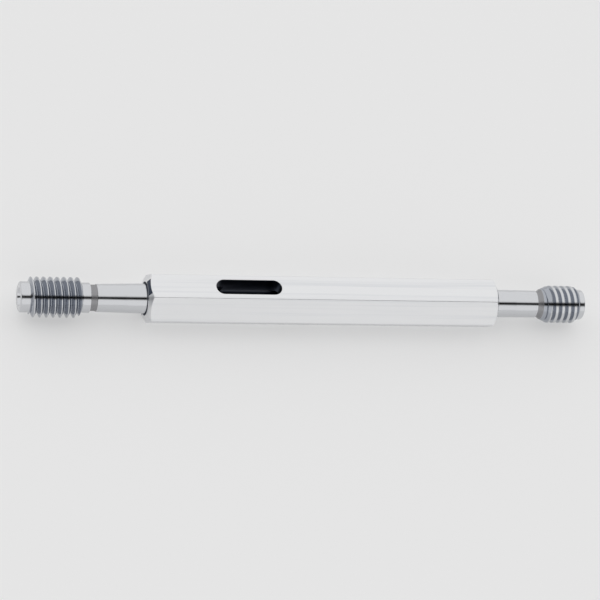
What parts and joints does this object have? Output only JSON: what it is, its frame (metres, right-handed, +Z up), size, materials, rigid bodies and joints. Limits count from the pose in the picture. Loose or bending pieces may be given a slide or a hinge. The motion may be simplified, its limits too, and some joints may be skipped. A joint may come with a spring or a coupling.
{
  "type": "thread plug gauge",
  "caption": "Double-ended thread plug gauge: hexagonal handle with a drift slot, a GO thread at one end and a short NO-GO thread at the other.",
  "frame": {"origin": "middle of the handle's bottom flat, on the surface it lies on", "axes": "+X along the gauge from the GO end to the NO-GO end, +Z up through the flat with the drift slot, +Y across"},
  "size_m": [0.0872, 0.008, 0.007],
  "materials": {
    "satin_aluminium": "drawn hexagonal bar, satin anodised in its natural silver",
    "ground_steel": "hardened gauge steel, cylindrically ground bright; undercuts left darker from hardening"
  },
  "bodies": {
    "root": {"handle": "satin_aluminium", "go_member": "ground_steel", "no_go_member": "ground_steel"}
  },
  "joints": []
}
